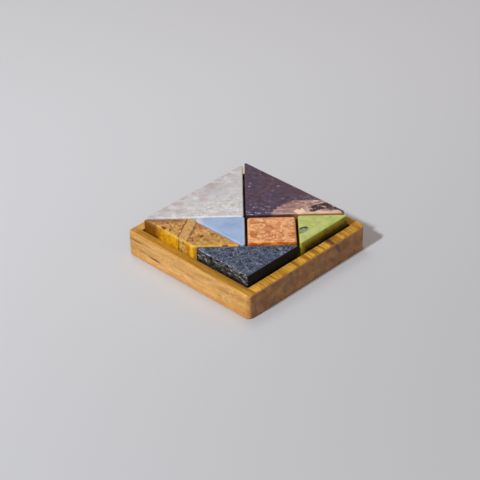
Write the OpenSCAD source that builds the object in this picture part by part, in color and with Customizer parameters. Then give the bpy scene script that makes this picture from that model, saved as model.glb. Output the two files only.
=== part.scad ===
// Tangram of seven polished stone tiles, laid as a square in a milled wooden tray.
// Millimetres. +Z is up, the tray's underside lies on z = 0 with its centre at the
// origin, the board's grain runs along X, and the tray's sides lie along X and Y.
//
// The tiles are cut by hand, so each seam has its own gap and lies a little off the
// line of the classic layout. A set-back is how far a tile's side stands back from
// that line, and the neighbour's side then follows from the gap between the two.

/* [Tray] */
// Side of the square tray
tray_side = 114; // [90:1:150]
// Height of the tray
tray_h = 19; // [14:0.5:28]
// Width of the rim between the outside and the recess
rim_w = 7.2; // [4:0.1:12]
// Depth of the recess, from the top of the rim to its floor
recess_depth = 6.5; // [3:0.5:10]
// Radius of the tray's four upright corners
corner_r = 4; // [2:0.5:7]
// Chamfer round the tray's outer top and bottom edges
outer_chamfer = 0.8; // [0.2:0.1:1.8]
// Radius of the recess's four upright corners
recess_corner_r = 1; // [0.5:0.1:2]

/* [Gaps] */
// Gap between the outer tiles and the wall of the recess
wall_gap = 0.7; // [0.6:0.1:2]
// Gap between the white and the plum large triangle
white_plum_gap = 1.3; // [0.2:0.1:2]
// Gap between the white large triangle and the brown parallelogram
white_brown_gap = 0.3; // [0.2:0.1:2]
// Gap between the white large triangle and the blue small triangle
white_blue_gap = 0.5; // [0.2:0.1:2]
// Gap between the brown parallelogram and the blue small triangle
brown_blue_gap = 0.4; // [0.2:0.1:2]
// Gap between the blue small triangle and the peach square
blue_peach_gap = 1.6; // [0.2:0.1:2]
// Gap between the peach square and the green small triangle
peach_green_gap = 1.6; // [0.2:0.1:2]
// Gap between the plum large triangle and the peach square
plum_peach_gap = 1.4; // [0.2:0.1:2]
// Gap between the plum large triangle and the green small triangle
plum_green_gap = 0.7; // [0.2:0.1:2]
// Gap between the slate medium triangle and the peach square
slate_peach_gap = 1.8; // [0.2:0.1:2]
// Gap between the slate medium triangle and the brown parallelogram
slate_brown_gap = 0.4; // [0.2:0.1:2]

/* [Set-backs] */
// Set-back of the white triangle's side that faces the plum one
white_side_back = 1.6; // [0:0.1:2]
// Set-back of the white triangle's side that faces the brown and blue tiles
white_front_back = 0.2; // [0:0.1:1]
// Set-back of the plum triangle's side that faces the peach and green tiles
plum_front_back = 0.4; // [0:0.1:1]
// Set-back of the blue triangle's side that faces the peach square
blue_side_back = 1; // [0:0.1:2]
// Set-back of the brown parallelogram's side that faces the blue triangle
brown_inner_back = 1.7; // [0:0.1:2]
// Set-back of the peach square's side that faces the green triangle
peach_side_back = 2.2; // [0:0.1:2.5]
// Set-back of the slate triangle's long side, which stands over its line
slate_long_back = -0.5; // [-0.6:0.1:1]

/* [Tile edges] */
// Chamfer round the top and bottom edges of each tile
tile_chamfer = 0.8; // [0.2:0.1:1.5]
// Width of the flat ground on most upright corners of the tiles
corner_flat = 1.4; // [0.8:0.1:3]
// Width of the flat on the plum triangle's right tip
plum_tip_flat = 2.7; // [0.8:0.1:3]
// Width of the flat on the blue triangle's left tip
blue_tip_flat = 2.9; // [0.8:0.1:3]
// Width of the flat on the blue triangle's front tip, which clears the slate triangle
blue_front_flat = 2; // [1.8:0.1:3]
// Width of the flat on the brown parallelogram's left tip
brown_tip_flat = 0.8; // [0.7:0.1:3]

/* [Tile thickness] */
// Thickness of the white large triangle
white_t = 15.5; // [10:0.1:20]
// Thickness of the plum large triangle
plum_t = 16.1; // [10:0.1:20]
// Thickness of the slate medium triangle
slate_t = 15.1; // [10:0.1:20]
// Thickness of the blue small triangle
blue_t = 15.4; // [10:0.1:20]
// Thickness of the green small triangle
green_t = 15.5; // [10:0.1:20]
// Thickness of the peach square
peach_t = 15.4; // [10:0.1:20]
// Thickness of the brown parallelogram
brown_t = 15.2; // [10:0.1:20]

/* [Hidden] */

recess_side = tray_side - 2 * rim_w;
floor_z = tray_h - recess_depth;
// The classic layout is drawn on a grid of four by four squares that fills the recess
grid = recess_side / 4;
grid_middle = [2, 2];
// How far the recess's cutter runs on above the rim
cut_past = 1;
curve_fn = 64;

// Each outline is a list of [grid corner, set-back of the side that leaves it, width
// of the flat on that corner], anticlockwise from above
WHITE = [
    [[0, 0], white_front_back, corner_flat],
    [[2, 2], white_side_back, corner_flat],
    [[0, 4], wall_gap, corner_flat],
];
PLUM = [
    [[2, 2], plum_front_back, corner_flat],
    [[4, 4], wall_gap, plum_tip_flat],
    [[0, 4], white_plum_gap - white_side_back, corner_flat],
];
SLATE = [
    [[2, 0], wall_gap, corner_flat],
    [[4, 0], wall_gap, corner_flat],
    [[4, 2], slate_long_back, corner_flat],
];
BLUE = [
    [[1, 1], brown_blue_gap - brown_inner_back, blue_tip_flat],
    [[3, 1], blue_side_back, blue_front_flat],
    [[2, 2], white_blue_gap - white_front_back, corner_flat],
];
GREEN = [
    [[4, 2], wall_gap, corner_flat],
    [[4, 4], plum_green_gap - plum_front_back, corner_flat],
    [[3, 3], peach_green_gap - peach_side_back, corner_flat],
];
PEACH = [
    [[3, 1], slate_peach_gap - slate_long_back, corner_flat],
    [[4, 2], peach_side_back, corner_flat],
    [[3, 3], plum_peach_gap - plum_front_back, corner_flat],
    [[2, 2], blue_peach_gap - blue_side_back, corner_flat],
];
BROWN = [
    [[0, 0], wall_gap, brown_tip_flat],
    [[2, 0], slate_brown_gap - slate_long_back, corner_flat],
    [[3, 1], brown_inner_back, corner_flat],
    [[1, 1], white_brown_gap - white_front_back, corner_flat],
];

function unit(v) = v / norm(v);
function inward(a, b) = unit([a.y - b.y, b.x - a.x]);

// Corner k of an outline, where the side that reaches it meets the side that leaves it
function corner(outline, k) =
    let (
        n = len(outline),
        before = outline[(k + n - 1) % n],
        here = outline[k],
        after = outline[(k + 1) % n],
        p = (here[0] - grid_middle) * grid,
        m1 = inward(before[0], here[0]),
        m2 = inward(here[0], after[0]),
        d1 = m1 * p + before[1],
        d2 = m2 * p + here[1],
        det = cross(m1, m2)
    )
    [d1 * m2.y - d2 * m1.y, m1.x * d2 - m2.x * d1] / det;

// The two ends of the flat of a given width that is ground on corner k of a ring of points
function ground_corner(points, k, flat) =
    let (
        n = len(points),
        back = unit(points[(k + n - 1) % n] - points[k]),
        on = unit(points[(k + 1) % n] - points[k]),
        run = flat / norm(on - back)
    )
    [points[k] + back * run, points[k] + on * run];

function tile_outline(outline) =
    let (sharp = [for (k = [0 : len(outline) - 1]) corner(outline, k)])
    [for (k = [0 : len(sharp) - 1]) each ground_corner(sharp, k, outline[k][2])];

// A stone slab standing on the floor of the recess, with its edges chamfered
module tile(outline, thickness) {
    points = tile_outline(outline);
    translate([0, 0, floor_z])
        hull() {
            translate([0, 0, tile_chamfer])
                linear_extrude(thickness - 2 * tile_chamfer)
                    polygon(points);
            linear_extrude(thickness)
                offset(delta = -tile_chamfer)
                    polygon(points);
        }
}

// Upright slab with a square plan and round corners
module rounded_slab(side, height, r) {
    linear_extrude(height)
        union() {
            square([side, side - 2 * r], center = true);
            square([side - 2 * r, side], center = true);
            for (x = [-1, 1], y = [-1, 1])
                translate([x, y] * (side / 2 - r))
                    circle(r, $fn = curve_fn);
        }
}

// Straight bar across the whole tray, with the outer chamfers along its two long sides
module tray_bar() {
    half = tray_side / 2;
    rotate([90, 0, 90])
        linear_extrude(tray_side - 2 * corner_r, center = true)
            polygon([
                [outer_chamfer - half, 0],
                [half - outer_chamfer, 0],
                [half, outer_chamfer],
                [half, tray_h - outer_chamfer],
                [half - outer_chamfer, tray_h],
                [outer_chamfer - half, tray_h],
                [-half, tray_h - outer_chamfer],
                [-half, outer_chamfer],
            ]);
}

// Round post at one upright corner of the tray, chamfered at both ends
module tray_post() {
    rotate_extrude($fn = curve_fn)
        polygon([
            [0, 0],
            [corner_r - outer_chamfer, 0],
            [corner_r, outer_chamfer],
            [corner_r, tray_h - outer_chamfer],
            [corner_r - outer_chamfer, tray_h],
            [0, tray_h],
        ]);
}

module tray() {
    color("peru")
        difference() {
            union() {
                tray_bar();
                rotate([0, 0, 90]) tray_bar();
                for (x = [-1, 1], y = [-1, 1])
                    translate([x, y, 0] * (tray_side / 2 - corner_r))
                        tray_post();
            }
            translate([0, 0, floor_z])
                rounded_slab(recess_side, recess_depth + cut_past, recess_corner_r);
        }
}

module large_triangle_white() {
    color("gainsboro") tile(WHITE, white_t);
}

module large_triangle_plum() {
    color("rosybrown") tile(PLUM, plum_t);
}

module medium_triangle_slate() {
    color("slategray") tile(SLATE, slate_t);
}

module small_triangle_blue() {
    color("lightsteelblue") tile(BLUE, blue_t);
}

module small_triangle_green() {
    color("darkkhaki") tile(GREEN, green_t);
}

module square_peach() {
    color("sandybrown") tile(PEACH, peach_t);
}

module parallelogram_brown() {
    color("burlywood") tile(BROWN, brown_t);
}

tray();
large_triangle_white();
large_triangle_plum();
medium_triangle_slate();
small_triangle_blue();
small_triangle_green();
square_peach();
parallelogram_brown();
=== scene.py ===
import math

import bpy
from mathutils import Matrix, Vector, noise


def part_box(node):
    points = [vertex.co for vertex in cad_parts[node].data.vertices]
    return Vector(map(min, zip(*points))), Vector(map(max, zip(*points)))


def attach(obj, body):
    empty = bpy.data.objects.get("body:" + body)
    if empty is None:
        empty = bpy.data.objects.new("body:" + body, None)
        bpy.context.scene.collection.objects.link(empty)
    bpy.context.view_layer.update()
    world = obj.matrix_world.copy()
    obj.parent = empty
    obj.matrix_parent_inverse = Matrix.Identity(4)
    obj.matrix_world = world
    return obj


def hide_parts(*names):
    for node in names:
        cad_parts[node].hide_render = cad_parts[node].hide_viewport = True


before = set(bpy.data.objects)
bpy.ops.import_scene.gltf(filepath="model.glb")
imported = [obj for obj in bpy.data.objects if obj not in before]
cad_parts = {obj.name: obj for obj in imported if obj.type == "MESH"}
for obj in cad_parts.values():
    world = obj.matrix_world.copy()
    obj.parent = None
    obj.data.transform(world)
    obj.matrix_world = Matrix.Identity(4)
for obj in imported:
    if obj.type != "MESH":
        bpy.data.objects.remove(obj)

# A tangram of seven worked stone tiles in a milled wooden tray. The patterns in the stone
# and the wood are measured in millimetres, in the frame of the model. The wood's grain
# runs along X. Most seams between the tiles follow the tray's diagonals: ACROSS points to
# the corner at +X +Y, where the plum tile ends, and AWAY to the back corner, at -X +Y.
# Left and right are told as seen from the front corner, at +X -Y.

MM = 0.001
DIAGONAL = math.sqrt(0.5)
ALONG_X = (1.0, 0.0, 0.0)
ALONG_Y = (0.0, 1.0, 0.0)
UP = (0.0, 0.0, 1.0)
ACROSS = (DIAGONAL, DIAGONAL, 0.0)
AWAY = (-DIAGONAL, DIAGONAL, 0.0)
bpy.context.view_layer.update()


def scaled(direction, factor):
    return tuple(factor * part for part in direction)


def rgb(red, green, blue):
    return (red, green, blue, 1.0)


# ---------------------------------------------------------------- mixing materials

class Value:
    """One output of a material's nodes, on which sums are written as plain arithmetic."""

    def __init__(self, paint, socket):
        self.paint = paint
        self.socket = socket

    def __add__(self, other):
        return self.paint.maths("ADD", self, other)

    def __radd__(self, other):
        return self.paint.maths("ADD", other, self)

    def __sub__(self, other):
        return self.paint.maths("SUBTRACT", self, other)

    def __rsub__(self, other):
        return self.paint.maths("SUBTRACT", other, self)

    def __mul__(self, other):
        return self.paint.maths("MULTIPLY", self, other)

    def __rmul__(self, other):
        return self.paint.maths("MULTIPLY", other, self)

    def __truediv__(self, other):
        return self.paint.maths("DIVIDE", self, other)

    def __abs__(self):
        return self.paint.maths("ABSOLUTE", self, 0.0)


class Paint:
    """A material in the making."""

    def __init__(self, name):
        self.material = bpy.data.materials.new(name)
        self.material.use_nodes = True
        self.tree = self.material.node_tree
        self.tree.nodes.clear()
        metres = self.add("ShaderNodeTexCoord", {}, {}, "Object")
        self.place = self.add("ShaderNodeVectorMath", {"operation": "SCALE"},
                              {0: metres, "Scale": 1 / MM})

    def add(self, kind, settings, sockets, output=0):
        """Adds a node of any kind: its settings first, then its sockets' values or links."""
        node = self.tree.nodes.new(kind)
        for name, setting in settings.items():
            setattr(node, name, setting)
        for name, value in sockets.items():
            if isinstance(value, Value):
                self.tree.links.new(value.socket, node.inputs[name])
            else:
                node.inputs[name].default_value = value
        return Value(self, node.outputs[output])

    def maths(self, operation, first, second):
        return self.add("ShaderNodeMath", {"operation": operation}, {0: first, 1: second})

    def drawn_out(self, stretch):
        """The place, with everything made `stretch` times as long along the wood's grain."""
        return self.add("ShaderNodeVectorMath", {"operation": "MULTIPLY"},
                        {0: self.place, 1: (1 / stretch, 1.0, 1.0)})

    def axes(self, first, second, third=UP, place=None):
        """The place measured along three directions of its own, each scaled by its length."""
        return self.add("ShaderNodeCombineXYZ", {}, {
            "X": self.along(first, place),
            "Y": self.along(second, place),
            "Z": self.along(third, place)})

    def along(self, direction, place=None):
        """How far a place lies along a direction, in millimetres."""
        return self.add("ShaderNodeVectorMath", {"operation": "DOT_PRODUCT"},
                        {0: place or self.place, 1: direction}, "Value")

    def around(self, centre, reach, place=None):
        """The square of how far a place lies from a centre, both told as across and away.

        It is 0 at the centre and 1 on the ellipse of half widths `reach`.
        """
        wide = (self.along(ACROSS, place) - centre[0]) / reach[0]
        far = (self.along(AWAY, place) - centre[1]) / reach[1]
        return wide * wide + far * far

    def clouds(self, size, place=None, detail=3.0, roughness=0.5):
        """Soft noise from 0 to 1, in lumps of about `size` millimetres."""
        return self.add("ShaderNodeTexNoise", {}, {
            "Vector": place or self.place, "Scale": 1 / size,
            "Detail": detail, "Roughness": roughness}, "Fac")

    def drift(self, size, amount, place=None):
        """The place, pushed about by up to `amount` millimetres in swirls of `size`."""
        start = place or self.place
        swirl = self.add("ShaderNodeTexNoise", {},
                         {"Vector": start, "Scale": 1 / size, "Detail": 2.0}, "Color")
        centred = self.add("ShaderNodeVectorMath", {"operation": "SUBTRACT"},
                           {0: swirl, 1: (0.5, 0.5, 0.5)})
        push = self.add("ShaderNodeVectorMath", {"operation": "SCALE"},
                        {0: centred, "Scale": 2 * amount})
        return self.add("ShaderNodeVectorMath", {"operation": "ADD"}, {0: start, 1: push})

    def grains(self, size, place=None, output="Distance"):
        """Cells of about `size` millimetres, as in crushed or crystalline stone."""
        return self.add("ShaderNodeTexVoronoi", {},
                        {"Vector": place or self.place, "Scale": 1 / size}, output)

    def waves(self, value):
        return self.maths("SINE", value, 0.0)

    def rise(self, value, low, high):
        """0 up to `low`, 1 from `high` on, smooth between, and falling where low is the higher."""
        return self.add("ShaderNodeMapRange", {"interpolation_type": "SMOOTHSTEP"},
                        {"Value": value, "From Min": low, "From Max": high})

    def band(self, value, middle, half_width, soft):
        """1 within `half_width` of the middle, fading to 0 over `soft`."""
        return self.rise(abs(value - middle), half_width + soft, half_width)

    def blend(self, below, above, amount, mode="MIX"):
        return self.add("ShaderNodeMix", {"data_type": "RGBA", "blend_type": mode, "clamp_factor": True},
                        {0: amount, 6: below, 7: above}, 2)

    def mark(self, name):
        """A value that the mesh carries at each point, such as how near an edge it lies."""
        return self.add("ShaderNodeAttribute", {"attribute_name": name}, {}, "Fac")

    def facing(self, direction):
        """How far the surface faces along a direction, from -1 to 1."""
        normal = self.add("ShaderNodeTexCoord", {}, {}, "Normal")
        return self.along(direction, normal)

    def finish(self, colour, roughness, height, depth, gleam=0.3):
        """Closes the material. `height` is the relief from 0 to 1, and `depth` its size in mm."""
        relief = self.add("ShaderNodeBump", {}, {
            "Strength": 1.0, "Distance": depth * MM, "Height": height}, "Normal")
        surface = self.add("ShaderNodeBsdfPrincipled", {}, {
            "Base Color": colour, "Roughness": roughness,
            "Normal": relief, "Specular IOR Level": gleam}, "BSDF")
        output = self.tree.nodes.new("ShaderNodeOutputMaterial")
        self.tree.links.new(surface.socket, output.inputs["Surface"])
        return self.material


# ---------------------------------------------------------------- wood and stones

def long_grain(paint, bands, lines, height):
    """The colour of the sides along the grain, with a wavy figure, a redder foot, and painted shade near
    the front corner.
    """
    blush = paint.clouds(14.0, paint.drawn_out(2.0), detail=2.0)
    dull_end = paint.rise(paint.along(ALONG_X), -30.0, -57.0)
    near_corner = paint.rise(paint.along(AWAY), -70.0, -76.0)
    wavy = paint.drift(9.0, 2.5, paint.drawn_out(4.55))
    figure = paint.waves(paint.clouds(7.0, wavy, detail=1.0) * 66.0)
    foot = paint.rise(height + (blush - 0.5) * 12.0, 6.0, 2.0)
    tone = paint.blend(rgb(0.575, 0.285, 0.074), rgb(0.855, 0.485, 0.160), paint.rise(bands, 0.3, 0.7))
    tone = paint.blend(tone, rgb(0.80, 0.36, 0.10), paint.rise(blush, 0.5, 0.7) * 0.4)
    tone = paint.blend(tone, rgb(0.46, 0.23, 0.07), lines * 0.5)
    tone = paint.blend(tone, rgb(0.60, 0.30, 0.075), dull_end * 0.65)
    tone = paint.blend(tone, rgb(0.56, 0.30, 0.10), paint.rise(figure, 0.45, 0.95) * 0.4)
    tone = paint.blend(tone, rgb(0.95, 0.62, 0.27), paint.rise(figure, -0.5, -0.95) * 0.25)
    tone = paint.blend(tone, rgb(0.72, 0.30, 0.07), foot * 0.45)
    tone = paint.blend(tone, rgb(0.90, 0.87, 0.76), dull_end * 0.6, "MULTIPLY")
    # painted shade: the face darkens towards the front corner, where it turns away from the light
    return paint.blend(tone, rgb(0.92, 0.84, 0.68), near_corner * 0.8, "MULTIPLY")


def rim_top(paint, grain, bands, lines):
    """The colour of the top of the rim, deeper than the sides, with darker cuts in the grain."""
    run = paint.along(ALONG_X)
    depth = paint.along(ALONG_Y)
    far_rim = paint.rise(run, 46.0, 51.0)
    near_rim = paint.rise(depth, -48.5, -50.5)
    mouth_side = paint.rise(depth + (bands - 0.5) * 6.0, -56.0, -54.0)
    cuts = paint.rise(paint.clouds(1.1, grain, roughness=0.6), 0.54, 0.64)
    knot = paint.band(depth + (paint.clouds(4.0) - 0.5) * 3.0, 25.2, 1.0, 1.2)
    tone = paint.blend(rgb(0.42, 0.175, 0.012), rgb(0.78, 0.39, 0.036), paint.rise(bands, 0.32, 0.66))
    tone = paint.blend(tone, rgb(0.25, 0.085, 0.008), lines * 0.6)
    tone = paint.blend(tone, rgb(0.92, 0.51, 0.065), far_rim * paint.rise(bands, 0.40, 0.60) * 0.6)
    tone = paint.blend(tone, rgb(0.22, 0.085, 0.012), cuts * (far_rim * 0.36 + 0.26))
    # painted shade from the tiles on the inner half of the near rim; the outer half is painted paler
    tone = paint.blend(tone, rgb(0.27, 0.115, 0.007), near_rim * mouth_side * 0.5)
    tone = paint.blend(tone, rgb(0.69, 0.41, 0.125), near_rim * (1 - mouth_side) * 0.3)
    tone = paint.blend(tone, rgb(0.22, 0.095, 0.012), cuts * near_rim * 0.35)
    tone = paint.blend(tone, rgb(0.66, 0.40, 0.14), paint.rise(run, -49.0, -52.0) * 0.35)
    return paint.blend(tone, rgb(0.17, 0.07, 0.02), knot * paint.rise(run, 44.0, 50.0))


def end_grain(paint, height):
    """Soft blotches, crossed by the ends of the darker rings leaning down and back."""
    depth = paint.along(ALONG_Y)
    swirl = paint.drift(7.0, 3.0)
    blotch = paint.clouds(6.5, swirl)
    warm = paint.clouds(9.0, detail=2.0)
    leaning = paint.axes((0.2, 0, 0), (0, 0.9, 0.42), (0, -0.15, 0.32), place=swirl)
    rings = paint.rise(paint.clouds(3.2, leaning), 0.56, 0.70)
    below_rim = 19.0 - height
    shake = paint.band(depth - below_rim * 0.55 + (blotch - 0.5) * 4.0, 26.0, 0.8, 1.6)
    gold = paint.rise(height + (blotch - 0.5) * 3.0, 15.6, 18.4)
    tone = paint.blend(rgb(0.30, 0.132, 0.048), rgb(0.52, 0.25, 0.086), paint.rise(blotch, 0.3, 0.7))
    tone = paint.blend(tone, rgb(0.30, 0.175, 0.115), paint.rise(warm, 0.5, 0.65) * 0.5)
    tone = paint.blend(tone, rgb(0.19, 0.082, 0.036), rings * 0.45)
    tone = paint.blend(tone, rgb(0.13, 0.075, 0.05), shake * paint.rise(height, 6.0, 14.0) * 0.8)
    return paint.blend(tone, rgb(0.62, 0.30, 0.06), gold * 0.55)


def mineral_streaks(paint, tone):
    """Dark streaks in the front, most of them near its end at -X."""
    # Place along X, height, half length, half thickness, slope and strength
    streaks = [(-47.3, 14.1, 6.5, 0.75, -0.03, 0.8), (-31.0, 7.2, 6.8, 0.95, -0.04, 1.0),
               (-41.6, 7.9, 5.5, 0.8, -0.03, 0.6), (-35.0, 11.6, 8.0, 0.4, -0.05, 0.35),
               (-54.0, 13.8, 3.5, 0.7, 0.0, 0.5), (-12.0, 5.2, 10.0, 0.4, -0.03, 0.25),
               (34.0, 13.8, 12.0, 0.4, -0.02, 0.2)]
    loose = paint.drift(5.0, 0.7)
    run_along = paint.along(ALONG_X, loose)
    run_up = paint.along(UP, loose)
    front = paint.rise(paint.facing(scaled(ALONG_Y, -1)), 0.5, 0.9)
    for x, z, half_length, half_height, slope, strength in streaks:
        run = (run_along - x) / half_length
        lift = (run_up - z - (run_along - x) * slope) / half_height
        streak = paint.rise(run * run + lift * lift, 1.5, 0.1) * front * strength
        tone = paint.blend(tone, rgb(0.36, 0.25, 0.19), streak, "MULTIPLY")
    return tone


def oiled_wood():
    paint = Paint("oiled_wood")
    height = paint.along(UP)
    end = paint.rise(abs(paint.facing(ALONG_X)), 0.78, 0.99)
    top = paint.rise(paint.facing(UP), 0.35, 0.85)
    grain = paint.drift(30.0, 1.6, paint.drawn_out(22.2))
    fine = paint.clouds(0.8, grain, detail=4.0, roughness=0.6)
    bands = paint.clouds(4.0, grain, detail=5.0, roughness=0.6)
    lines = paint.rise(paint.clouds(1.5, grain, detail=2.0), 0.60, 0.70)
    pores = paint.rise(paint.clouds(0.45, paint.drawn_out(10.0), detail=1.0), 0.64, 0.74)
    dashes = paint.rise(paint.clouds(0.9, paint.drift(4.0, 0.8, paint.drawn_out(4.55))), 0.5, 0.66)
    # painted light: a pale cream streak at the back corner, standing for the lit rim seen through the seam
    # between the tiles
    painted_light_streak = paint.band(paint.along(ACROSS), 0.0, 3.0, 4.0) * paint.rise(paint.along(AWAY), 62.0, 70.0)
    painted_light_streak = painted_light_streak * paint.rise(height, 12.0, 18.0) * (1 - end)

    side_tone = long_grain(paint, bands, lines, height)
    top_tone = rim_top(paint, grain, bands, lines)
    tone = paint.blend(paint.blend(side_tone, top_tone, top), end_grain(paint, height), end)
    tone = paint.blend(tone, rgb(0.82, 0.70, 0.50), painted_light_streak * 0.8)
    tone = paint.blend(tone, rgb(0.62, 0.48, 0.34), paint.rise(fine, 0.52, 0.74) * 0.45, "MULTIPLY")
    tone = paint.blend(tone, rgb(0.45, 0.28, 0.17), pores * 0.5, "MULTIPLY")
    tone = paint.blend(tone, rgb(0.80, 0.71, 0.58), dashes * (1 - end) * 0.6, "MULTIPLY")
    tone = mineral_streaks(paint, tone)
    # painted shade: the recess walls are darkened towards black below the mouth
    tone = paint.blend(tone, rgb(0.10, 0.055, 0.03), paint.mark("recess") * 0.7)
    # painted highlight: the rounded edge of the mouth is painted lighter
    tone = paint.blend(tone, rgb(0.86, 0.60, 0.26), paint.mark("edge") * 0.5)
    relief = fine * 0.5 - pores * 0.5 + bands * 0.2 + 0.4
    gloss = 0.5 + fine * 0.16 + pores * 0.15 - top * 0.05
    return paint.finish(tone, gloss, relief, 0.06)


def polish(paint):
    """Faint marks of the polishing wheel: a fine, even relief."""
    return paint.clouds(0.5, detail=4.0, roughness=0.6)


def white_stone():
    paint = Paint("white_stone")
    across = paint.along(ACROSS)
    away = paint.along(AWAY)
    flowing = paint.drift(9.0, 4.5, paint.axes(scaled(ACROSS, 0.6), AWAY))
    veil = paint.clouds(5.5, flowing, detail=4.0, roughness=0.55)
    fine_bands = paint.axes(scaled(ACROSS, 0.62), AWAY, place=paint.drift(5.0, 3.0))
    ripple_bands = paint.clouds(1.7, fine_bands, detail=4.0, roughness=0.62)
    mauve = paint.rise(paint.clouds(6.0, flowing), 0.42, 0.58)
    back_left = paint.rise(away - across, 42.0, 66.0)
    low_right = paint.rise(away - across * 0.5, 36.0, 18.0)
    tone = paint.blend(rgb(0.56, 0.525, 0.515), rgb(0.73, 0.70, 0.69), paint.rise(veil, 0.3, 0.7))
    tone = paint.blend(tone, rgb(0.47, 0.385, 0.385), mauve * (back_left * 0.5 + 0.22 - low_right * 0.12))
    tone = paint.blend(tone, rgb(0.60, 0.615, 0.68), paint.rise(paint.clouds(9.0), 0.48, 0.62) * 0.45)
    crests = paint.rise(ripple_bands, 0.52, 0.64) * (low_right * 0.6 + 0.12)
    tone = paint.blend(tone, rgb(0.95, 0.92, 0.88), crests)
    troughs = paint.rise(ripple_bands, 0.45, 0.34) * (low_right * 0.4 + 0.2)
    tone = paint.blend(tone, rgb(0.42, 0.39, 0.39), troughs)
    loose = paint.drift(2.0, 0.7)
    dark_spot = paint.around((-19.5, 25.6), (1.0, 1.0), loose)
    tone = paint.blend(tone, rgb(0.24, 0.23, 0.23), paint.rise(dark_spot, 0.8, 0.2) * 0.8)
    pale_spot = paint.around((-34.2, 23.7), (1.0, 1.0), loose)
    tone = paint.blend(tone, rgb(0.82, 0.80, 0.78), paint.rise(pale_spot, 6.0, 2.0) * 0.5)
    specks = paint.grains(6.0, paint.drift(3.0, 1.0))
    tone = paint.blend(tone, rgb(0.36, 0.34, 0.34), paint.rise(specks, 0.09, 0.05) * 0.6)
    # painted highlight along the rounded edge, stronger towards the right
    wear_and_highlight = paint.mark("edge") * (paint.rise(across, -42.0, -30.0) * 0.5 + 0.1)
    tone = paint.blend(tone, rgb(0.92, 0.90, 0.92), wear_and_highlight)
    return paint.finish(tone, 0.26 + ripple_bands * 0.14, polish(paint), 0.02)


def plum_body(paint, across, away, mottle):
    """The dark part of the plum tile, with pale dashes near the middle of the puzzle."""
    violet = paint.clouds(9.0)
    rusty = paint.rise(paint.along(ALONG_Y), 34.0, 45.0) * paint.rise(across, 10.0, 26.0)
    dash = paint.rise(paint.clouds(1.9, paint.axes(scaled(ACROSS, 0.55), AWAY)), 0.55, 0.65)
    near = paint.rise(away, 15.0, 6.0) * paint.rise(across, 21.0, 14.0)
    freckle = paint.rise(paint.grains(5.5, paint.drift(4.0, 2.0)), 0.21, 0.09)
    dark = paint.blend(rgb(0.066, 0.038, 0.057), rgb(0.142, 0.090, 0.128), paint.rise(mottle, 0.32, 0.70))
    dark = paint.blend(dark, rgb(0.074, 0.054, 0.112), paint.rise(violet, 0.42, 0.58) * 0.6)
    dark = paint.blend(dark, rgb(0.115, 0.056, 0.056), rusty * 0.55)
    dark = paint.blend(dark, rgb(0.050, 0.036, 0.075), near * 0.5)
    dark = paint.blend(dark, rgb(0.44, 0.39, 0.54), dash * near * 0.9)
    dark = paint.blend(dark, rgb(0.27, 0.21, 0.26), freckle * 0.5)
    # Pale flecks: place across and away, and strength
    flecks = [(2.6, 36.6, 0.6), (22.9, 36.4, 0.5), (25.2, 20.1, 0.4), (3.5, 41.0, 0.35), (18.5, 30.5, 0.25)]
    loose = paint.drift(1.6, 0.8)
    for fleck_across, fleck_away, strength in flecks:
        fleck = paint.rise(paint.around((fleck_across, fleck_away), (1.0, 0.77), loose), 1.6, 0.3)
        dark = paint.blend(dark, rgb(0.46, 0.38, 0.43), fleck * strength)
    return dark


def plum_end(paint, across, away, torn):
    """The pink end of the plum tile, with its cream patch and black branching growths."""
    veins = paint.clouds(2.0, paint.axes(scaled(ACROSS, 0.45), AWAY), detail=5.0, roughness=0.65)
    rosy = paint.rise(across + away, 30.0, 22.0)
    brown_veins = paint.rise(away, 9.0, 13.0) * paint.rise(veins, 0.6, 0.4)
    mauve_veins = paint.rise(across + away * 0.6, 29.0, 21.0) * paint.rise(veins, 0.40, 0.55)
    pale_veins = paint.rise(across, 38.0, 44.0) * paint.rise(veins, 0.46, 0.58)
    pink = paint.blend(rgb(0.27, 0.135, 0.115), rgb(0.56, 0.34, 0.31), paint.rise(veins, 0.32, 0.66))
    pink = paint.blend(pink, rgb(0.36, 0.21, 0.23), rosy * 0.6)
    pink = paint.blend(pink, rgb(0.24, 0.125, 0.09), brown_veins * 0.7)
    pink = paint.blend(pink, rgb(0.58, 0.40, 0.42), mauve_veins * 0.8)
    pink = paint.blend(pink, rgb(0.74, 0.52, 0.48), pale_veins * 0.8)

    # Cream: a ragged patch, and a strip from it to the point along the seam
    patch_wide = (across - 36.4 + torn * 16.0) / 4.2
    patch_far = (away - 4.0 + torn * 12.0) / 3.0
    patch = paint.rise(patch_wide * patch_wide + patch_far * patch_far, 1.3, 0.5)
    strip = paint.rise(away + torn * 5.0, 4.0, 2.6) * paint.rise(across, 33.0, 38.0)
    cream = patch + strip * (1 - patch)
    pink = paint.blend(pink, rgb(0.95, 0.70, 0.49), cream * (patch * 0.4 + 0.55))

    # The growths are thickest along a bowed line
    leaning = paint.axes(scaled((0.90, 0.44, 0.0), 0.5), (-0.44, 0.90, 0.0), place=paint.drift(2.6, 1.6))
    thicket = paint.clouds(1.9, leaning, detail=4.0, roughness=0.66)
    from_middle = across - 55.0
    spine = 9.6 - from_middle * from_middle * 0.030
    crowding = paint.rise(abs(away - spine), 6.0, 2.6) * paint.rise(across, 38.0, 46.0)
    growth = paint.rise(thicket + crowding * 0.36, 0.76, 0.81)
    pink = paint.blend(pink, rgb(0.030, 0.018, 0.024), growth * 0.96)
    tip = paint.rise(across + away * 0.3 + torn * 4.0, 63.5, 65.0)
    return paint.blend(pink, rgb(0.05, 0.03, 0.035), tip * 0.9)


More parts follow.
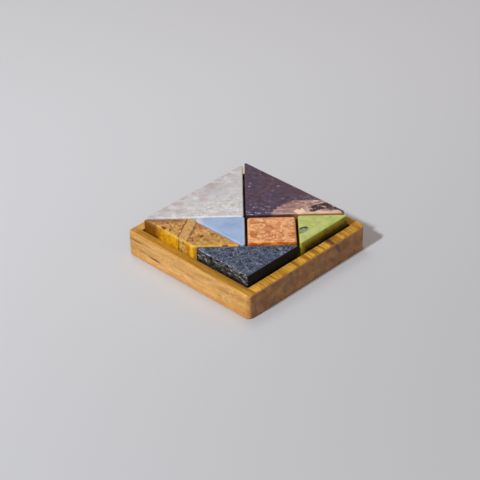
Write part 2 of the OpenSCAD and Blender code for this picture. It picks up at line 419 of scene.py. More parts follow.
def plum_stone():
    paint = Paint("plum_stone")
    across = paint.along(ACROSS)
    away = paint.along(AWAY)
    torn = paint.clouds(4.0, detail=5.0, roughness=0.65) - 0.5
    mottle = paint.clouds(3.0, paint.axes(scaled(ACROSS, 0.8), AWAY), detail=5.0, roughness=0.6)

    # The pink end runs up from the seam to a ragged border that bows to the left
    border = paint.rise(across - 17.0 - away * away * 0.05 + torn * 9.0, -0.4, 1.4)
    ceiling = paint.rise(away - 17.2 + (across - 34.0) * 0.06 + torn * 10.0, 1.4, 0.0)
    tone = paint.blend(plum_body(paint, across, away, mottle), plum_end(paint, across, away, torn),
                       border * ceiling)
    dusk = paint.rise(paint.clouds(2.6, detail=4.0), 0.48, 0.6) * paint.band(away, 20.5, 3.0, 3.0)
    tone = paint.blend(tone, rgb(0.17, 0.155, 0.16), dusk * paint.rise(across, 28.0, 34.0) * 0.75)

    toasted = paint.blend(rgb(0.075, 0.028, 0.018), rgb(0.42, 0.18, 0.04), paint.rise(across, 29.0, 36.0))
    toasted = paint.blend(toasted, rgb(0.035, 0.02, 0.02), paint.rise(across, 19.0, 15.0))
    tone = paint.blend(tone, toasted, paint.rise(paint.mark("side"), 0.25, 0.6) * 0.9)
    # painted highlight: the rounded edge is faintly lighter
    tone = paint.blend(tone, rgb(0.50, 0.42, 0.48), paint.mark("edge") * 0.06)
    return paint.finish(tone, 0.24 + mottle * 0.12, polish(paint), 0.018)


def slate_stone():
    paint = Paint("slate_stone")
    flake = paint.grains(1.9, paint.drift(2.0, 1.4), output="Color")
    shade = paint.along((0.5, 0.3, 0.2), flake)
    curl = paint.clouds(1.5, paint.drift(2.6, 2.2), detail=4.0, roughness=0.62)
    broad = paint.clouds(7.0)
    tone = paint.blend(rgb(0.024, 0.028, 0.046), rgb(0.174, 0.200, 0.300), paint.rise(curl, 0.38, 0.66))
    tone = paint.blend(tone, rgb(0.060, 0.078, 0.14), paint.rise(broad, 0.42, 0.62) * 0.45)
    glint = paint.rise(shade, 0.62, 0.76) * paint.rise(curl, 0.44, 0.58)
    tone = paint.blend(tone, rgb(0.34, 0.37, 0.46), glint * 0.55)
    tone = paint.blend(tone, rgb(0.012, 0.013, 0.018), paint.rise(shade, 0.34, 0.2) * 0.6)
    mossy = paint.rise(paint.clouds(2.4), 0.58, 0.7)
    tone = paint.blend(tone, rgb(0.07, 0.11, 0.09), mossy * 0.35)

    # The broken sides, in painted shade: darker at the foot, and nearly black where they turn to +X, away
    # from the light
    side = paint.mark("side")
    crumb = paint.clouds(2.0, paint.axes((0.6, 0, 0), (0, 0.6, 0), (0, 0, 1.3)), detail=4.0, roughness=0.62)
    broken = paint.blend(rgb(0.004, 0.004, 0.005), rgb(0.105, 0.098, 0.10), paint.rise(crumb, 0.42, 0.58))
    broken = paint.blend(broken, rgb(0.55, 0.53, 0.58), paint.rise(crumb, 0.60, 0.66) * 0.75)
    broken = paint.blend(broken, rgb(0.10, 0.11, 0.05), paint.rise(paint.clouds(1.6), 0.56, 0.66) * 0.6)
    # painted shade: the foot of the side is darkened
    foot = paint.rise(paint.along(UP) + (crumb - 0.5) * 6.0, 23.0, 19.5)
    broken = paint.blend(broken, rgb(0.007, 0.006, 0.006), foot * 0.8)
    # painted shade: sides that face +X, away from the light, are painted nearly black
    painted_side_shade = paint.rise(paint.facing(ALONG_X), 0.4, 0.8)
    broken = paint.blend(broken, rgb(0.004, 0.0035, 0.0035), painted_side_shade * 0.95)
    tone = paint.blend(tone, broken, paint.rise(side, 0.3, 0.75))
    arris = paint.mark("edge")
    # pale chips along the top edge, kept to the lit sides: real chipping, with painted highlight
    chips_and_highlight = arris * paint.rise(paint.clouds(1.1), 0.52, 0.60)
    tone = paint.blend(tone, rgb(0.50, 0.50, 0.60), chips_and_highlight * (1 - painted_side_shade) * 0.8)
    # painted highlight: a thin bluish line along the top edge of the side in painted shade
    tone = paint.blend(tone, rgb(0.10, 0.11, 0.16), arris * painted_side_shade * 0.7)
    gloss = 0.27 + curl * 0.15 + side * 0.35
    relief = curl * (0.15 + side * 0.85)
    return paint.finish(tone, gloss, relief, 0.09, gleam=0.2)


def blue_stone():
    paint = Paint("blue_stone")
    across = paint.along(ACROSS)
    haze = paint.clouds(7.0, paint.axes(scaled(ACROSS, 0.55), AWAY))
    fine = paint.clouds(1.6)
    tone = paint.blend(rgb(0.290, 0.410, 0.635), rgb(0.385, 0.500, 0.735), paint.rise(haze, 0.3, 0.7))
    tone = paint.blend(tone, rgb(0.35, 0.49, 0.61), paint.rise(paint.clouds(5.0), 0.5, 0.7) * 0.5)
    tone = paint.blend(tone, rgb(0.50, 0.55, 0.72), paint.rise(fine, 0.55, 0.8) * 0.35)
    # painted highlight: a pale band along the front-left edge
    border = paint.rise(paint.along(ALONG_Y) + (haze - 0.5) * 3.0, -20.5, -24.5)
    tone = paint.blend(tone, rgb(0.50, 0.54, 0.78), border * paint.rise(across, -14.0, -24.0) * 0.5)
    # painted reflection: the tip is painted pale, as the white tile seen in its polished round
    tip = paint.rise(across + (fine - 0.5) * 3.0, -28.0, -31.0)
    tone = paint.blend(tone, rgb(0.63, 0.60, 0.64), tip * 0.85)
    strip = paint.rise(across, -3.2, -2.4)
    tone = paint.blend(tone, rgb(0.50, 0.56, 0.72), strip * 0.5)
    # painted highlight on the rounded edge
    tone = paint.blend(tone, rgb(0.52, 0.56, 0.70), paint.mark("edge") * 0.1)
    return paint.finish(tone, 0.22 + fine * 0.1, polish(paint), 0.015)


def green_stone():
    paint = Paint("green_stone")
    cloud = paint.clouds(5.0, paint.drift(9.0, 3.0), detail=4.0)
    fine = paint.clouds(1.3, detail=4.0)
    tone = paint.blend(rgb(0.43, 0.52, 0.140), rgb(0.61, 0.61, 0.210), paint.rise(cloud, 0.32, 0.68))
    tone = paint.blend(tone, rgb(0.50, 0.60, 0.28), paint.rise(paint.clouds(4.0), 0.52, 0.72) * 0.5)
    tone = paint.blend(tone, rgb(0.34, 0.37, 0.10), paint.rise(fine, 0.58, 0.76) * 0.4)
    specks = paint.rise(paint.grains(6.0, paint.drift(3.0, 1.2)), 0.11, 0.06)
    tone = paint.blend(tone, rgb(0.14, 0.14, 0.05), specks * 0.6)

    # A grey eye by the left edge, leaning up to the right, with a dark cap at both ends
    loose = paint.drift(2.4, 1.3)
    across = paint.along(ACROSS, loose) - 37.0
    away = paint.along(AWAY, loose) + 18.6
    length = (across * 0.78 + away * 0.62) / 5.0
    width = (away * 0.78 - across * 0.62) / 2.9
    ring = length * length + width * width
    inner = paint.rise(ring, 1.5, 0.7)
    tone = paint.blend(tone, rgb(0.23, 0.265, 0.185), inner * 0.8)
    cap = paint.rise(abs(length), 0.35, 0.75) * paint.rise(width, -0.5, 0.2)
    cap = cap + paint.rise(length, -0.35, -0.85) * paint.rise(width, 0.6, 0.1)
    upper = paint.rise(width, 0.15, 0.6) * paint.rise(length, -0.6, 0.1)
    tone = paint.blend(tone, rgb(0.028, 0.036, 0.022), paint.rise(ring, 1.4, 0.95) * (cap + upper) * 0.85)

    # The sawn side, in painted light and shade: yellowish under the rounded edge, lighter where it faces -Y
    # and near the front, and nearly black at the foot
    side = paint.mark("side")
    level = paint.along(UP) + (cloud - 0.5) * 4.0
    painted_side_shade = paint.blend(rgb(0.014, 0.014, 0.002), rgb(0.40, 0.34, 0.006), paint.rise(level, 20.5, 27.0))
    murk = paint.rise(paint.clouds(5.0), 0.52, 0.64)
    painted_side_shade = paint.blend(painted_side_shade, rgb(0.030, 0.042, 0.010), murk * 0.6)
    lit = paint.rise(paint.facing(scaled(ALONG_Y, -1)), 0.05, 0.5)
    painted_side_shade = paint.blend(painted_side_shade, rgb(0.52, 0.47, 0.035), lit)
    near_front = paint.rise(paint.along(ALONG_Y), 6.5, 2.5)
    painted_side_shade = paint.blend(painted_side_shade, rgb(0.40, 0.36, 0.03), near_front * 0.7)
    tone = paint.blend(tone, painted_side_shade, paint.rise(side, 0.4, 0.7))
    # painted highlight along the rounded edge
    tone = paint.blend(tone, rgb(0.50, 0.52, 0.09), paint.mark("edge") * 0.35)
    return paint.finish(tone, 0.22 + fine * 0.1, polish(paint), 0.015)


def peach_stone():
    paint = Paint("peach_stone")
    across = paint.along(ACROSS)
    swirl = paint.drift(9.0, 5.0)
    right = paint.rise(across, 18.0, 24.0)
    level = paint.clouds(3.4, paint.axes(scaled(ACROSS, 0.45), AWAY, place=swirl), detail=2.0)
    upright = paint.clouds(3.2, paint.axes(ACROSS, scaled(AWAY, 0.35), place=swirl), detail=2.0)
    curl = level * (1 - right) + upright * right
    veins = paint.clouds(3.0, paint.drift(6.0, 3.2), detail=2.0)
    tone = paint.blend(rgb(0.60, 0.180, 0.052), rgb(0.90, 0.43, 0.175), paint.rise(curl, 0.38, 0.60))
    tone = paint.blend(tone, rgb(0.98, 0.60, 0.33), paint.rise(veins, 0.50, 0.62) * 0.4)
    tone = paint.blend(tone, rgb(0.54, 0.150, 0.040), paint.rise(veins, 0.46, 0.38) * 0.3)
    contour = paint.waves(paint.clouds(8.0, paint.drift(7.0, 3.0), detail=1.0) * 44.0) * 0.5 + 0.5
    tone = paint.blend(tone, rgb(1.0, 0.64, 0.38), paint.rise(contour, 0.72, 0.98) * 0.5)
    tone = paint.blend(tone, rgb(0.58, 0.165, 0.045), paint.rise(contour, 0.24, 0.02) * 0.4)
    # Redder patches: centre and reach, across and away
    patches = [((14.5, -16.0), (3.6, 5.0)), ((5.0, -20.5), (4.6, 2.6)),
               ((31.0, -24.0), (1.6, 5.0)), ((6.0, -8.0), (5.5, 1.6))]
    loose = paint.drift(5.0, 2.6)
    for centre, reach in patches:
        patch = paint.rise(paint.around(centre, reach, loose), 1.5, 0.4)
        tone = paint.blend(tone, rgb(0.50, 0.140, 0.042), patch * 0.6)

    # The sides, painted by the way they face as light falls: a saturated painted glow where they face the
    # front corner, and a paler lit tone elsewhere
    side = paint.mark("side")
    painted_glow = paint.blend(rgb(0.44, 0.090, 0.001), rgb(0.86, 0.25, 0.002), paint.rise(level, 0.42, 0.58))
    near = paint.rise(paint.facing(scaled(AWAY, -1)), 0.12, 0.4)
    tone = paint.blend(tone, painted_glow, paint.rise(side, 0.08, 0.28) * near * 0.97)
    tone = paint.blend(tone, rgb(0.90, 0.42, 0.17), paint.rise(side, 0.1, 0.5) * (1 - near) * 0.8)
    # painted highlight along the rounded top edge, stronger on the paler veins
    wear_and_highlight = paint.rise(paint.mark("edge"), 0.1, 0.5) * paint.rise(side, 0.3, 0.1)
    wear_and_highlight = wear_and_highlight * (paint.rise(veins, 0.44, 0.56) * 0.4 + 0.1) * (1 - near * 0.5)
    tone = paint.blend(tone, rgb(0.98, 0.60, 0.34), wear_and_highlight)
    return paint.finish(tone, 0.2 + curl * 0.12, polish(paint), 0.015)


def brown_stone():
    paint = Paint("brown_stone")
    across = paint.along(ACROSS)
    away = paint.along(AWAY)
    wander = paint.clouds(3.4, detail=4.0) - 0.5
    # Two thin dark veins cross the tile, with a paler band between them
    first = across + 39.2 - away * 0.25 + wander * 2.6
    second = across + 31.8 - away * 0.27 + wander * 3.0
    mottle = paint.clouds(2.8, paint.drift(4.0, 2.6), detail=5.0, roughness=0.62)
    hue = paint.clouds(5.0)
    tone = paint.blend(rgb(0.27, 0.105, 0.025), rgb(0.80, 0.435, 0.13), paint.rise(mottle, 0.34, 0.64))
    tone = paint.blend(tone, rgb(0.54, 0.33, 0.085), paint.rise(hue, 0.5, 0.68) * 0.5)
    tone = paint.blend(tone, rgb(0.50, 0.21, 0.12), paint.rise(hue, 0.46, 0.32) * 0.6)
    pale = paint.rise(first, -0.4, 0.5) * paint.rise(second, 0.5, -0.6)
    tone = paint.blend(tone, rgb(0.68, 0.39, 0.145), pale * 0.6)
    red = paint.rise(second, 0.6, 1.6) * paint.rise(second, 13.0, 4.0) * paint.rise(away, -17.0, -8.0)
    tone = paint.blend(tone, rgb(0.50, 0.165, 0.085), red * 0.8)
    tone = paint.blend(tone, rgb(0.13, 0.050, 0.026), paint.band(first, 0.0, 0.2, 0.5) * 0.8)
    tone = paint.blend(tone, rgb(0.19, 0.075, 0.035), paint.band(second, 0.3, 0.3, 0.9) * 0.65)
    eyes = paint.grains(2.7, paint.drift(3.0, 1.2))
    halo = paint.band(eyes, 0.36, 0.04, 0.08) * paint.rise(paint.clouds(6.0), 0.42, 0.55)
    tone = paint.blend(tone, rgb(0.20, 0.075, 0.035), halo * paint.rise(second, 0.0, 4.0) * 0.5)
    dots = paint.rise(paint.grains(5.2, paint.drift(3.0, 1.4)), 0.17, 0.09)
    tone = paint.blend(tone, rgb(0.13, 0.045, 0.020), dots * 0.75)
    # Dark knots: centre, across and away, and size
    knots = [((-55.1, -12.2), 1.5), ((-29.7, -22.9), 1.0), ((-35.6, -27.4), 0.9)]
    loose = paint.drift(2.0, 1.0)
    for centre, size in knots:
        knot = paint.rise(paint.around(centre, (size, size * 1.3), loose), 1.8, 0.4)
        tone = paint.blend(tone, rgb(0.075, 0.028, 0.015), knot * 0.9)
    ochre = paint.rise(away, -24.0, -31.0) * paint.rise(second, 2.0, 5.0)
    tone = paint.blend(tone, rgb(0.58, 0.35, 0.055), ochre * 0.35)
    rust = paint.rise(away + wander * 6.0, -8.0, -1.0) * paint.rise(across, -38.0, -44.0)
    tone = paint.blend(tone, rgb(0.25, 0.095, 0.045), rust * 0.85)

    # The polished sides: amber, with a crumbly band between two veins, and a dark root
    side = paint.mark("side")
    amber = paint.blend(rgb(0.46, 0.185, 0.002), rgb(0.75, 0.37, 0.006), paint.rise(mottle, 0.3, 0.6))
    crumbs = paint.blend(rgb(0.24, 0.10, 0.035), rgb(0.66, 0.38, 0.10), paint.rise(mottle, 0.4, 0.56))
    front = paint.along(ALONG_X) + 14.6 + wander * 1.5
    amber = paint.blend(amber, crumbs, paint.rise(front, 0.0, 0.6) * paint.rise(front, 7.2, 6.2) * 0.85)
    amber = paint.blend(amber, rgb(0.46, 0.17, 0.006), paint.band(front, 8.7, 1.0, 1.0) * 0.7)
    amber = paint.blend(amber, rgb(0.88, 0.52, 0.04), paint.band(front, 12.3, 0.5, 1.2) * 0.8)
    amber = paint.blend(amber, rgb(0.075, 0.025, 0.01), paint.band(front, 0.0, 0.25, 0.5) * 0.85)
    root = paint.rise(across + wander * 6.0, -55.0, -62.0)
    amber = paint.blend(amber, rgb(0.155, 0.040, 0.0), root * 0.95)
    tone = paint.blend(tone, amber, paint.rise(side, 0.12, 0.55) * 0.97)
    # painted highlight along the rounded edge, weaker towards the left tip
    painted_edge_highlight = 0.35 - paint.rise(across, -48.0, -58.0) * 0.25
    tone = paint.blend(tone, rgb(0.90, 0.56, 0.10), paint.mark("edge") * painted_edge_highlight)
    seam = paint.rise(away + wander, -32.6, -33.8)
    tone = paint.blend(tone, rgb(0.85, 0.36, 0.010), seam * paint.band(across, -8.5, 3.0, 2.0) * 0.8)
    tone = paint.blend(tone, rgb(0.13, 0.022, 0.004), seam * paint.band(across, -14.3, 1.5, 1.0) * 0.85)
    return paint.finish(tone, 0.22 + mottle * 0.12, polish(paint), 0.015, gleam=0.22)


# ---------------------------------------------------------------- shapes

def outline_of(node):
    """The convex outline of a CAD node seen from above, anticlockwise, as 2-D vectors."""
    seen = {(round(v.co.x, 6), round(v.co.y, 6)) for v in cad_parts[node].data.vertices}
    points = [Vector(p) for p in sorted(seen)]
    turn_least = 1e-9

    def chain(run):
        kept = []
        for point in run:
            while len(kept) > 1:
                last = kept[-1] - kept[-2]
                step = point - kept[-1]
                if last.x * step.y - last.y * step.x > turn_least:
                    break
                kept.pop()
            kept.append(point)
        return kept[:-1]

    return chain(points) + chain(points[::-1])


class TileOutline:
    """A tile's outline, with its upright corners rounded, that can be drawn at any inset."""

    longest_flat = 3.0 * MM
    tightest = 0.12 * MM

    def __init__(self, node, spacing, arc_steps):
        hull = outline_of(node)
        count = len(hull)
        edges = [(hull[k], hull[(k + 1) % count]) for k in range(count)]
        sides = [edge for edge in edges if (edge[1] - edge[0]).length > self.longest_flat]
        self.corners = []
        for k, side in enumerate(sides):
            before = sides[k - 1]
            self.corners.append(self.corner(before, side))
        self.samples = []
        for k, corner in enumerate(self.corners):
            for step in range(arc_steps + 1):
                self.samples.append((k, True, step / arc_steps))
            following = self.corners[(k + 1) % len(self.corners)]
            pieces = max(4, round((following["tip"] - corner["tip"]).length / spacing))
            for step in range(1, pieces):
                self.samples.append((k, False, step / pieces))

    def corner(self, before, after):
        """The point where two sides would meet, and the round that touches the ground flat."""
        into = (before[1] - before[0]).normalized()
        out = (after[1] - after[0]).normalized()
        gap = after[0] - before[1]
        turn = into.x * out.y - into.y * out.x
        reach = (gap.x * out.y - gap.y * out.x) / turn
        tip = before[1] + into * reach
        half_angle = (math.pi - math.acos(max(-1.0, min(1.0, into.dot(out))))) / 2
        set_back = gap.length / 2 / math.tan(half_angle)
        radius = set_back / (1 / math.sin(half_angle) - 1)
        bisector = (out - into).normalized()
        first = math.atan2(-into.x, into.y)
        sweep = math.pi - 2 * half_angle
        return {"tip": tip, "half": half_angle, "radius": radius, "in": bisector,
                "first": first, "sweep": sweep}

    def arc_point(self, k, part, inset):
        corner = self.corners[k]
        radius = max(corner["radius"] - inset, self.tightest)
        sine = math.sin(corner["half"])
        middle = corner["tip"] + corner["in"] * ((inset + radius) / sine)
        angle = corner["first"] + corner["sweep"] * part
        outward = Vector((math.cos(angle), math.sin(angle)))
        return middle + outward * radius, outward

    def point(self, sample, inset):
        """Where a sample of the outline lies at an inset, and which way it faces."""
        k, on_arc, part = sample
        if on_arc:
            return self.arc_point(k, part, inset)
        start, outward = self.arc_point(k, 1.0, inset)
        end, _ = self.arc_point((k + 1) % len(self.corners), 0.0, inset)
        return start.lerp(end, part), outward

    def middle(self):
        total = Vector((0.0, 0.0))
        for corner in self.corners:
            total += corner["tip"]
        return total / len(self.corners)


def ripple(place, size, seed):
    """Smooth noise from -1 to 1 in lumps of `size` millimetres, its own for each seed."""
    elsewhere = Vector((seed * 13.7, seed * 5.1, seed * 9.3))
    return noise.noise(Vector(place) / (size * MM) + elsewhere)


def make_mesh(name, rings, marks):
    """A closed skin through rings of points. The first and last rings may be single points."""
    points = [p for ring in rings for p in ring]
    starts = []
    total = 0
    for ring in rings:
        starts.append(total)
        total += len(ring)
    faces = []
    for lower, upper, a, b in zip(rings, rings[1:], starts, starts[1:]):
        count = max(len(lower), len(upper))
        for k in range(count):
            following = (k + 1) % count
            if len(lower) == 1:
                faces.append((a, b + following, b + k))
            elif len(upper) == 1:
                faces.append((a + k, a + following, b))
            else:
                faces.append((a + k, a + following, b + following, b + k))
    mesh = bpy.data.meshes.new(name)
    mesh.from_pydata([tuple(p) for p in points], [], faces)
    mesh.validate()
    mesh.shade_smooth()
    for mark, values in marks.items():
        layer = mesh.attributes.new(mark, "FLOAT", "POINT")
        layer.data.foreach_set("value", [v for ring in values for v in ring])
    piece = bpy.data.objects.new(name, mesh)
    bpy.context.scene.collection.objects.link(piece)
    return piece


def stone_tile(node, name, seed, round_mm, spacing=0.8, side_rough=0.04, chips=0.15):
    """A slab worked from a CAD tile: uneven rounded edges, and a top polished by hand."""
    low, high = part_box(node)
    outline = TileOutline(node, spacing * MM, 5)
    centre = outline.middle()
    quarter = math.pi / 2
    foot = 0.6 * MM
    foot_steps = 3
    side_steps = max(8, round((high.z - low.z) / (spacing * MM)))
    round_steps = 6
    top_steps = 26
    crowding = 1.25
    rings = []
    edges = []
    sides = []
    rounds = []
    for sample in outline.samples:
        place, _ = outline.point(sample, 0.0)
        waver = 0.28 * ripple((place.x, place.y, 0.0), 9.0, seed)
        rounds.append(round_mm * MM * (1.0 + waver))

    def hollow(place):
        """How far the whole skin is worked down at a place, in millimetres."""
        return 0.03 * (1 + ripple(place, 14.0, seed + 1))

    def ring_at(level):
        """One ring of the skin: level(round) gives its inset, height, tilt, edge and side marks."""
        ring = []
        edge = []
        side = []
        for sample, radius in zip(outline.samples, rounds):
            inset, height, tilt, edge_mark, side_mark = level(radius)
            flat, outward = outline.point(sample, inset)
            place = Vector((flat.x, flat.y, height))
            flatness = math.cos(tilt)
            facing = Vector((outward.x * flatness, outward.y * flatness, math.sin(tilt)))
            coarse = 0.5 + 0.5 * ripple(place, 1.5, seed + 3)
            fine = 0.5 + 0.5 * ripple(place, 0.6, seed + 5)
            rough = side_rough * (coarse + 0.6 * fine)
            chip = 2.2 * chips * max(0.0, ripple(place, 2.3, seed + 7) - 0.32)
            depth = hollow(place) + rough * side_mark + chip * edge_mark
            ring.append(place - facing * (depth * MM))
            edge.append(edge_mark)
            side.append(side_mark)
        rings.append(ring)
        edges.append(edge)
        sides.append(side)

    rings.append([Vector((centre.x, centre.y, low.z))])
    edges.append([0.0])
    sides.append([1.0])
    for step in range(foot_steps + 1):
        turn = quarter * step / foot_steps
        ring_at(lambda radius, turn=turn: (
            foot * (1 - math.sin(turn)), low.z + foot * (1 - math.cos(turn)), turn - quarter,
            0.0, 1.0))
    for step in range(1, side_steps):
        part = step / side_steps
        ring_at(lambda radius, part=part: (
            0.0, (low.z + foot) * (1 - part) + (high.z - radius) * part, 0.0, 0.0, 1.0))
    for step in range(round_steps + 1):
        turn = quarter * step / round_steps
        ring_at(lambda radius, turn=turn: (
            radius * (1 - math.cos(turn)), high.z - radius * (1 - math.sin(turn)), turn,
            math.sin(2 * turn), 1 - turn / quarter))

    # The top: rings that shrink to the middle, closest together near the edge
    shoulder = rings[-1]
    for step in range(1, top_steps + 1):
        part = (step / top_steps) ** crowding
        ring = []
        for start in shoulder if step < top_steps else [centre]:
            flat = Vector((start.x, start.y)).lerp(centre, part)
            place = Vector((flat.x, flat.y, high.z))
            ring.append(place - Vector(UP) * (hollow(place) * MM))
        rings.append(ring)
        edges.append([0.0] * len(ring))
        sides.append([0.0] * len(ring))
    return make_mesh(name, rings, {"edge": edges, "side": sides})


def tray_sizes():
    """The tray's half side, its corner radius and its recess, read from its CAD node."""
    _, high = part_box("tray")
    floor = min(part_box(node)[0].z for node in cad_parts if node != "tray")
    tiny = 0.01 * MM
    points = [v.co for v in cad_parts["tray"].data.vertices]
    run = max(p.x for p in points if p.y > high.y - tiny)
    on_floor = [p for p in points if abs(p.z - floor) < tiny]
    recess = max(p.x for p in on_floor)
    recess_run = max(p.x for p in on_floor if p.y > recess - tiny)
    return {"half": high.x, "corner": high.x - run, "height": high.z, "floor": floor,
            "recess": recess, "recess_corner": recess - recess_run}


def square_ring(half, corner, height, side_steps, corner_steps):
    """A square with round corners, as a ring of places with the way that each one faces."""
    ring = []
    run = half - corner
    for quarter in range(4):
        turn = Matrix.Rotation(quarter * math.pi / 2, 2)
        for step in range(corner_steps + 1):
            angle = -math.pi / 4 + (step / corner_steps - 0.5) * math.pi / 2
            outward = Vector((math.cos(angle), math.sin(angle)))
            middle = Vector((run, -run))
            ring.append((turn @ (middle + outward * corner), turn @ outward, height))
        for step in range(1, side_steps):
            along = Vector((half, -run + 2 * run * step / side_steps))
            ring.append((turn @ along, turn @ Vector((1.0, 0.0)), height))
    return ring


def wooden_tray():
    """The block with its recess: soft outer edges, a lightly broken mouth, a cutter's fillet."""
    size = tray_sizes()
    top = size["height"]
    outer_round = 1.5 * MM
    mouth_round = 0.4 * MM
    fillet = 0.5 * MM
    darkening = 1.5 * MM
    side_steps = 120
    corner_steps = 8
    round_steps = 5
    outside_steps = 20
    rim_steps = 7
    recess_steps = 6
    quarter = math.pi / 2
    # Each level: half side, corner radius, height, tilt, edge mark, and 1 outside or -1 inside
    levels = []

    def outer(inset, height, tilt):
        levels.append((size["half"] - inset, size["corner"] - inset, height, tilt, 0.0, 1))

    def inner(inset, height, tilt, edge):
        corner = max(size["recess_corner"] - inset, 0.1 * MM)
        levels.append((size["recess"] - inset, corner, height, tilt, edge, -1))

    for step in range(round_steps + 1):
        turn = quarter * step / round_steps
        outer(outer_round * (1 - math.sin(turn)), outer_round * (1 - math.cos(turn)), turn - quarter)
    outside = top - 2 * outer_round
    for step in range(1, outside_steps):
        outer(0.0, outer_round + outside * step / outside_steps, 0.0)
    for step in range(round_steps + 1):
        turn = quarter * step / round_steps
        outer(outer_round * (1 - math.cos(turn)), top - outer_round * (1 - math.sin(turn)), turn)
    rim_outside = size["half"] - outer_round
    rim_inside = size["recess"] + mouth_round
    corner_outside = size["corner"] - outer_round
    corner_inside = size["recess_corner"] + mouth_round
    for step in range(1, rim_steps):
        part = step / rim_steps
        half = rim_outside * (1 - part) + rim_inside * part
        corner = corner_outside * (1 - part) + corner_inside * part
        levels.append((half, corner, top, quarter, 0.0, 1))
    for step in range(round_steps + 1):
        turn = quarter * step / round_steps
        inner(-mouth_round * (1 - math.sin(turn)), top - mouth_round * (1 - math.cos(turn)),
              quarter - turn, math.sin(2 * turn))
    inside = top - mouth_round - size["floor"] - fillet
    for step in range(1, recess_steps):
        inner(0.0, top - mouth_round - inside * step / recess_steps, 0.0, 0.0)
    for step in range(round_steps + 1):
        turn = quarter * step / round_steps
        inner(fillet * (1 - math.cos(turn)), size["floor"] + fillet * (1 - math.sin(turn)), turn, 0.0)

    rings = [[Vector((0.0, 0.0, 0.0))]]
    edges = [[0.0]]
    recess = [[0.0]]
    for half, corner, height, tilt, edge, side in levels:
        ring = []
        for flat, outward, z in square_ring(half, corner, height, side_steps, corner_steps):
            place = Vector((flat.x, flat.y, z))
            reach = math.cos(tilt) * side
            facing = Vector((outward.x * reach, outward.y * reach, math.sin(tilt)))
            # Sanding leaves low waves, long in the run of the grain; the underside stays flat
            wear_and_highlight = 0.02 * (1 + ripple((place.x * 0.3, place.y, place.z), 6.0, 2))
            if z > 0.0:
                place = place - facing * (wear_and_highlight * MM)
            ring.append(place)
        rings.append(ring)
        edges.append([edge] * len(ring))
        # how far the painted shade inside the recess has set in, full at 1.5 mm below the mouth
        sunk = min(1.0, max(0.0, (top - height) / darkening)) if side < 0 else 0.0
        recess.append([sunk] * len(ring))
    rings.append([Vector((0.0, 0.0, size["floor"]))])
    edges.append([0.0])
    recess.append([1.0])
    return make_mesh("wooden_tray", rings, {"edge": edges, "recess": recess})


# ---------------------------------------------------------------- the pieces

def dress(piece, material, node, body):
    piece.data.materials.append(material)
    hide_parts(node)
    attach(piece, body)


dress(wooden_tray(), oiled_wood(), "tray", "tray")

TILES = [
    ("large_triangle_white", "white_slab", "white_triangle", white_stone, {"round_mm": 1.0, "chips": 0.1}),
    ("large_triangle_plum", "plum_slab", "plum_triangle", plum_stone, {"round_mm": 0.8, "chips": 0.1}),
    ("medium_triangle_slate", "slate_slab", "slate_triangle", slate_stone,
     {"round_mm": 0.7, "chips": 0.55, "side_rough": 0.25, "spacing": 0.45}),
    ("small_triangle_blue", "blue_slab", "blue_triangle", blue_stone, {"round_mm": 0.8, "chips": 0.05}),
    ("small_triangle_green", "green_slab", "green_triangle", green_stone, {"round_mm": 1.0, "chips": 0.05}),
    ("square_peach", "peach_slab", "peach_square", peach_stone, {"round_mm": 1.6, "chips": 0.06}),
    ("parallelogram_brown", "brown_slab", "brown_parallelogram", brown_stone,
     {"round_mm": 1.6, "chips": 0.1}),
]
for seed, (node, name, body, stone, work) in enumerate(TILES, start=1):
    dress(stone_tile(node, name, seed, **work), stone(), node, body)


# ---------------------------------------------------------------- floor, light and camera

def pale_floor():
    paint = Paint("pale_paper")
    tooth = paint.clouds(1.2)
    # painted light: the floor is painted brighter towards the back and the left, as light falling off
    back = paint.rise(paint.along(AWAY) - paint.along(ACROSS) * 0.4, -300.0, 300.0)
    tone = paint.blend(rgb(0.55, 0.55, 0.57), rgb(0.70, 0.70, 0.73), back)
    tone = paint.blend(tone, rgb(0.96, 0.96, 0.96), tooth * 0.5, "MULTIPLY")
    return paint.finish(tone, 0.75 + tooth * 0.1, tooth, 0.02)


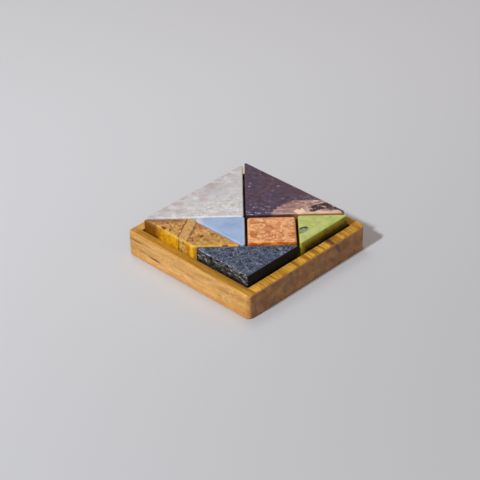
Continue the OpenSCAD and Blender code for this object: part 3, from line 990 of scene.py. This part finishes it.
floor_half = 4.0
corners = [(-floor_half, -floor_half, 0.0), (floor_half, -floor_half, 0.0),
           (floor_half, floor_half, 0.0), (-floor_half, floor_half, 0.0)]
floor_mesh = bpy.data.meshes.new("floor")
floor_mesh.from_pydata(corners, [], [(0, 1, 2, 3)])
floor = bpy.data.objects.new("floor", floor_mesh)
bpy.context.scene.collection.objects.link(floor)
floor_mesh.materials.append(pale_floor())


def look_at(thing, target, roll=0.0):
    aim = (target - thing.location).to_track_quat("-Z", "Y").to_matrix()
    thing.rotation_euler = (aim @ Matrix.Rotation(roll, 3, "Z")).to_euler()


def from_centre(azimuth, elevation, distance):
    """A place seen from the middle: azimuth 0 is on the -Y side and 90 on the +X side."""
    level = math.cos(elevation)
    return Vector((math.sin(azimuth) * level, -math.cos(azimuth) * level, math.sin(elevation))) * distance


def soft_lamp(name, azimuth, elevation, distance, width, watts, colour):
    lamp = bpy.data.lights.new(name, "AREA")
    lamp.shape = "DISK"
    lamp.size = width
    lamp.energy = watts
    lamp.color = colour
    holder = bpy.data.objects.new(name, lamp)
    bpy.context.scene.collection.objects.link(holder)
    holder.location = from_centre(math.radians(azimuth), math.radians(elevation), distance)
    look_at(holder, Vector((0.0, 0.0, 0.0)))


soft_lamp("key_lamp", azimuth=0.0, elevation=43.0, distance=2.0, width=0.17, watts=29.2,
          colour=(0.975, 1.035, 1.065))
soft_lamp("window_fill", azimuth=-112.0, elevation=66.0, distance=1.3, width=0.6, watts=2.7,
          colour=(1.0, 0.96, 0.95))

world = bpy.data.worlds.new("studio")
bpy.context.scene.world = world
world.use_nodes = True
background = world.node_tree.nodes["Background"]
background.inputs["Color"].default_value = rgb(0.503, 0.448, 0.420)
background.inputs["Strength"].default_value = 0.56

camera_data = bpy.data.cameras.new("camera")
camera = bpy.data.objects.new("camera", camera_data)
bpy.context.scene.collection.objects.link(camera)
camera_data.sensor_width = 36.0
camera_data.lens = 121.6
aim = Vector((2.6, -8.9, 14.3)) * MM
towards_camera = from_centre(azimuth=math.radians(45.19), elevation=math.radians(33.85), distance=1.0898)
camera.location = aim + towards_camera
look_at(camera, aim, roll=math.radians(-1.44))
bpy.context.scene.camera = camera
bpy.context.scene.view_settings.view_transform = "Standard"
